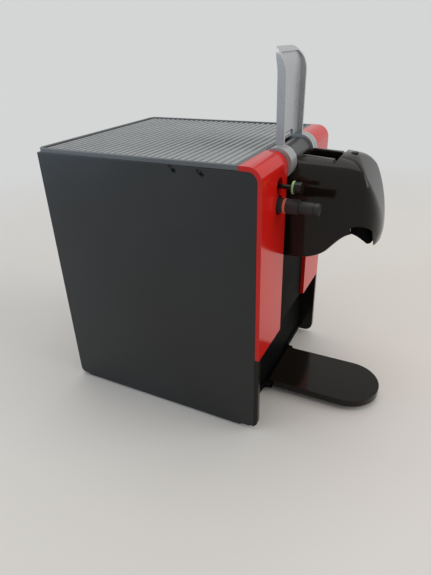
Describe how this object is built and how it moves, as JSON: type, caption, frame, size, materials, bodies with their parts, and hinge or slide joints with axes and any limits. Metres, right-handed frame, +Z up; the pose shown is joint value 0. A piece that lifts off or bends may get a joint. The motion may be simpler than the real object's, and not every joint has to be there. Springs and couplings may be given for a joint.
{
  "type": "pod coffee machine",
  "caption": "Cube-shaped pod coffee machine with a lever head, red front shells, a folding cup support and a rear water tank.",
  "frame": {"origin": "on the floor at the centre of the footprint, cup support included", "axes": "+Z up, -Y towards the cup support, +X to the right seen from the front"},
  "size_m": [0.182, 0.299, 0.3152],
  "materials": {
    "charcoal": "fine matt moulding",
    "gloss_black": "polished",
    "red_gloss": "polished lacquer",
    "dark_grey": "satin",
    "tray_grey": "satin, ribbed",
    "matt_black": "matt moulding",
    "frame_grey": "plain moulding",
    "silver": "satin cast",
    "hub_silver": "satin silver paint",
    "steel": "turned",
    "rubber": "matt",
    "smoke": "smoked and see-through",
    "aluminium": "as cast",
    "hose": "silicone",
    "white_plastic": "plain moulding",
    "board_green": "circuit board",
    "green_seal": "soft ring",
    "red_seal": "soft ring"
  },
  "bodies": {
    "casing": {"base_pan": "matt_black", "rubber_feet": "rubber", "left_side_panel": "charcoal", "right_side_panel": "charcoal", "rear_panel": "dark_grey", "left_front_shell": "red_gloss", "right_front_shell": "red_gloss", "left_leg": "gloss_black", "right_leg": "gloss_black", "centre_column": "gloss_black", "top_frame": "dark_grey", "cup_tray": "tray_grey", "front_bulkhead": "frame_grey", "equipment_shelf": "frame_grey", "tank_bay_wall": "frame_grey", "head_shell": "gloss_black", "head_barrel": "gloss_black", "spout_outlet": "matt_black", "needle_plate": "steel", "lever_pad": "rubber", "brew_sleeve": "frame_grey", "lever_axle": "steel", "button_guide": "matt_black", "switch_block": "board_green", "tank_valve_seat": "white_plastic", "pump": "steel", "pump_mounts": "rubber", "heater_block": "aluminium", "heater_thermostats": "white_plastic", "flow_meter": "white_plastic", "suction_hose": "hose", "pressure_hose": "hose", "brew_hose": "hose", "control_board": "board_green", "power_inlet": "matt_black", "pod_chute": "frame_grey", "case_screws": "steel"},
    "lever": {"lever": "silver", "left_hub": "hub_silver", "right_hub": "hub_silver"},
    "piston": {"brew_piston": "steel"},
    "upper_button": {"upper_button": "gloss_black", "upper_ring": "green_seal"},
    "lower_button": {"lower_button": "matt_black", "lower_ring": "red_seal"},
    "drawer": {"drawer_front": "gloss_black", "pod_bin": "matt_black", "drip_tray": "matt_black", "support_pin": "steel"},
    "cup_support": {"cup_support": "gloss_black"},
    "tank": {"water_tank": "smoke", "tank_coupler": "white_plastic"}
  },
  "joints": [
    {"name": "lever_swing", "type": "hinge", "parent": "casing", "child": "lever", "pos_m": [0, -0.048, 0.2329], "axis": [1, 0, 0], "range_deg": [0, 80]},
    {"name": "piston_slide", "type": "slide", "parent": "casing", "child": "piston", "axis": [0, -1, 0], "range_m": [0, 0.0131]},
    {"name": "upper_button_press", "type": "slide", "parent": "casing", "child": "upper_button", "axis": [0, 1, 0], "range_m": [0, 0.0025], "stiffness_N_per_m": 400},
    {"name": "lower_button_press", "type": "slide", "parent": "casing", "child": "lower_button", "axis": [0, 1, 0], "range_m": [0, 0.0025], "stiffness_N_per_m": 400},
    {"name": "drawer_slide", "type": "slide", "parent": "casing", "child": "drawer", "axis": [0, -1, 0], "range_m": [0, 0.09]},
    {"name": "support_fold", "type": "hinge", "parent": "drawer", "child": "cup_support", "pos_m": [0, -0.0469, 0.009], "axis": [-1, 0, 0], "range_deg": [0, 80]},
    {"name": "tank_slide", "type": "slide", "parent": "casing", "child": "tank", "axis": [0, 1, 0], "range_m": [0, 0.075]}
  ],
  "couplings": [
    {"joint": "piston_slide", "follows": "lever_swing", "m_per_rad": 0.0093}
  ]
}
